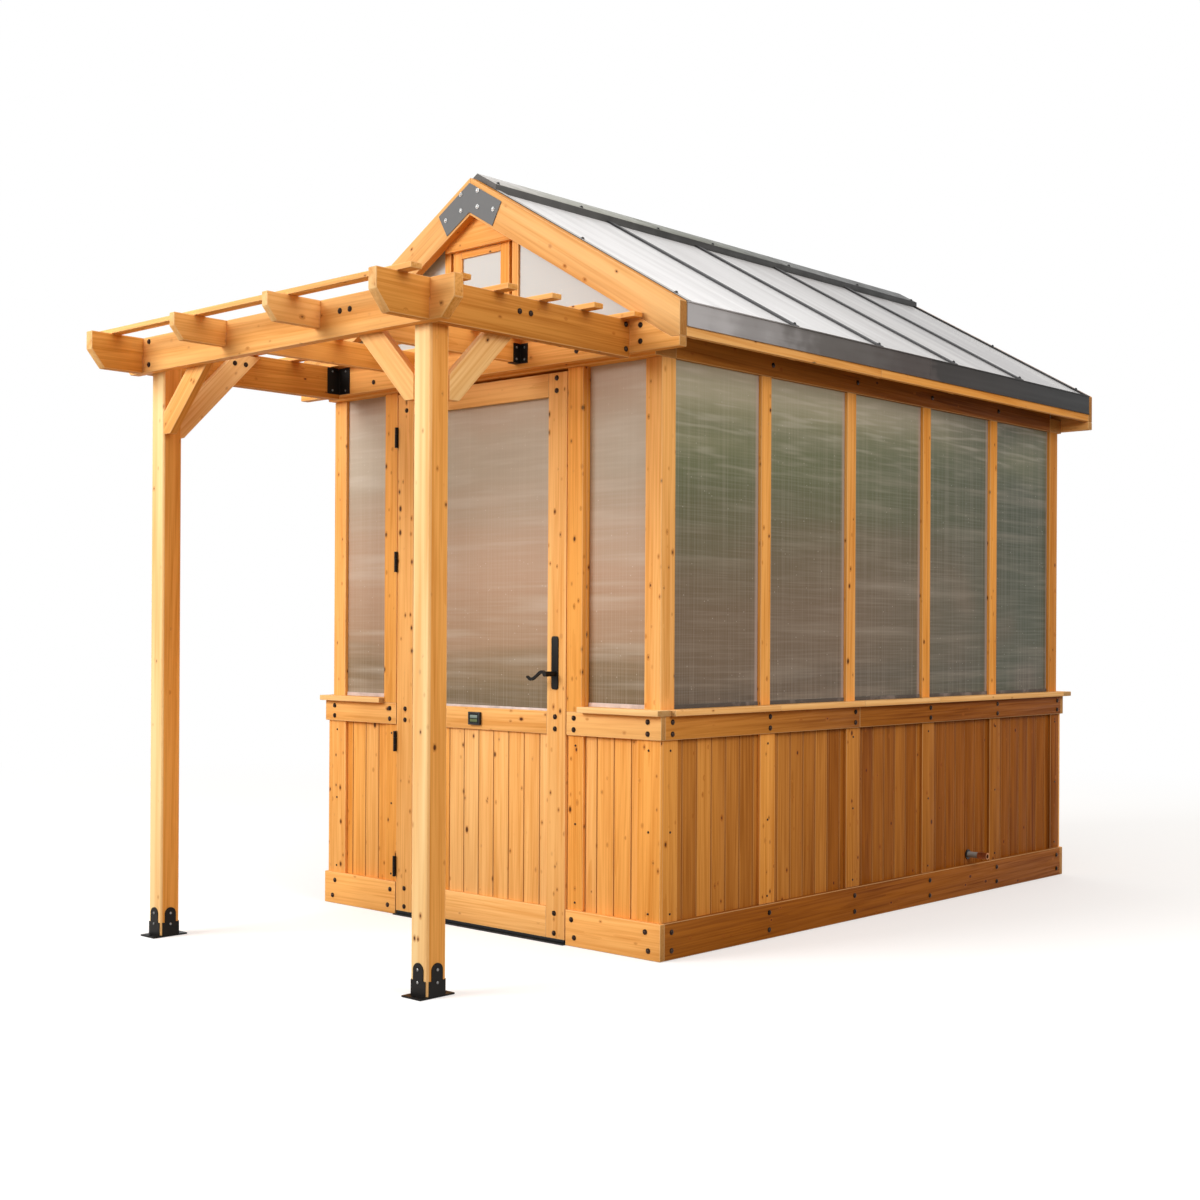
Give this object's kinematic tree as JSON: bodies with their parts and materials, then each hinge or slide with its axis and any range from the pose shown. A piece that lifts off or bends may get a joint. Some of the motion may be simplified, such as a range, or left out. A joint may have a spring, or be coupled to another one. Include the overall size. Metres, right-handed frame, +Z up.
{
  "type": "greenhouse",
  "caption": "Cedar-framed greenhouse with panelled knee walls, polycarbonate glazing, a gabled roof, a hinged front door and a pergola porch on posts.",
  "frame": {"origin": "on the ground, in the middle of the front wall's outer face, under the door", "axes": "+X to the right along the front, +Y back from the door, +Z up"},
  "size_m": [1.994, 3.9835, 2.745],
  "materials": {
    "cedar": "oiled",
    "wall_polycarbonate": "ribbed twin wall",
    "roof_polycarbonate": "ribbed twin wall",
    "pale_plastic": "satin",
    "grey_steel": "satin",
    "pale_aluminium": "satin",
    "charcoal_aluminium": "satin",
    "black_steel": "satin",
    "plain_steel": "satin",
    "bronze_steel": "satin",
    "black_rubber": "matt",
    "black_plastic": "matt",
    "display_panel": "gloss",
    "grey_plastic": "satin",
    "brass": "satin"
  },
  "bodies": {
    "house": {"skirt_boards": "cedar", "knee_rails": "cedar", "sill_caps": "cedar", "front_wall_boards": "cedar", "side_wall_boards": "cedar", "rear_wall_boards": "cedar", "wall_battens": "cedar", "corner_posts": "cedar", "wall_studs": "cedar", "door_jambs": "cedar", "door_casings": "cedar", "door_stops": "cedar", "top_plates": "cedar", "gable_headers": "cedar", "rake_boards": "cedar", "gable_frames": "cedar", "peak_boards": "cedar", "ridge_beam": "cedar", "rafters": "cedar", "fascia_boards": "cedar", "pergola_posts": "cedar", "pergola_front_beam": "cedar", "pergola_side_beams": "cedar", "pergola_rafters": "cedar", "pergola_slats": "cedar", "pergola_braces": "cedar", "side_wall_panes": "wall_polycarbonate", "end_wall_panes": "wall_polycarbonate", "gable_panes": "wall_polycarbonate", "roof_panels": "roof_polycarbonate", "pane_channels": "pale_plastic", "gable_gussets": "grey_steel", "eave_flashings": "pale_aluminium", "glazing_bars": "charcoal_aluminium", "rake_trims": "charcoal_aluminium", "ridge_cap": "charcoal_aluminium", "post_bases": "black_steel", "pergola_brackets": "black_steel", "frame_hinge_leaves": "black_steel", "hinge_pins": "plain_steel", "strike_plate": "plain_steel", "wall_bolts": "bronze_steel", "porch_bolts": "bronze_steel", "gusset_bolts": "grey_steel", "threshold": "black_rubber", "hose_pipe": "grey_plastic", "hose_flange": "black_plastic", "hose_fitting": "brass"},
    "door": {"door_stiles": "cedar", "door_rails": "cedar", "door_boards": "cedar", "door_pane": "wall_polycarbonate", "door_sweep": "black_rubber", "door_hinge_leaves": "black_steel", "door_bolts": "bronze_steel", "lock_plates": "black_steel", "thermometer_case": "black_plastic", "thermometer_display": "display_panel"},
    "lever": {"door_levers": "black_steel"},
    "latch": {"latch_bolt": "plain_steel"}
  },
  "joints": [
    {"name": "door_swing", "type": "hinge", "parent": "house", "child": "door", "pos_m": [-0.448, -0.007, 0.999], "axis": [0, 0, -1], "range_deg": [0, 85]},
    {"name": "lever_turn", "type": "hinge", "parent": "door", "child": "lever", "pos_m": [0.396, 0.018, 0.935], "axis": [0, -1, 0], "range_deg": [0, 40], "stiffness_Nm_per_rad": 1.2, "springref_deg": -28.65},
    {"name": "latch_slide", "type": "slide", "parent": "door", "child": "latch", "axis": [-1, 0, 0], "range_m": [0, 0.011]}
  ],
  "couplings": [
    {"joint": "latch_slide", "follows": "lever_turn", "m_per_rad": 0.01575}
  ]
}
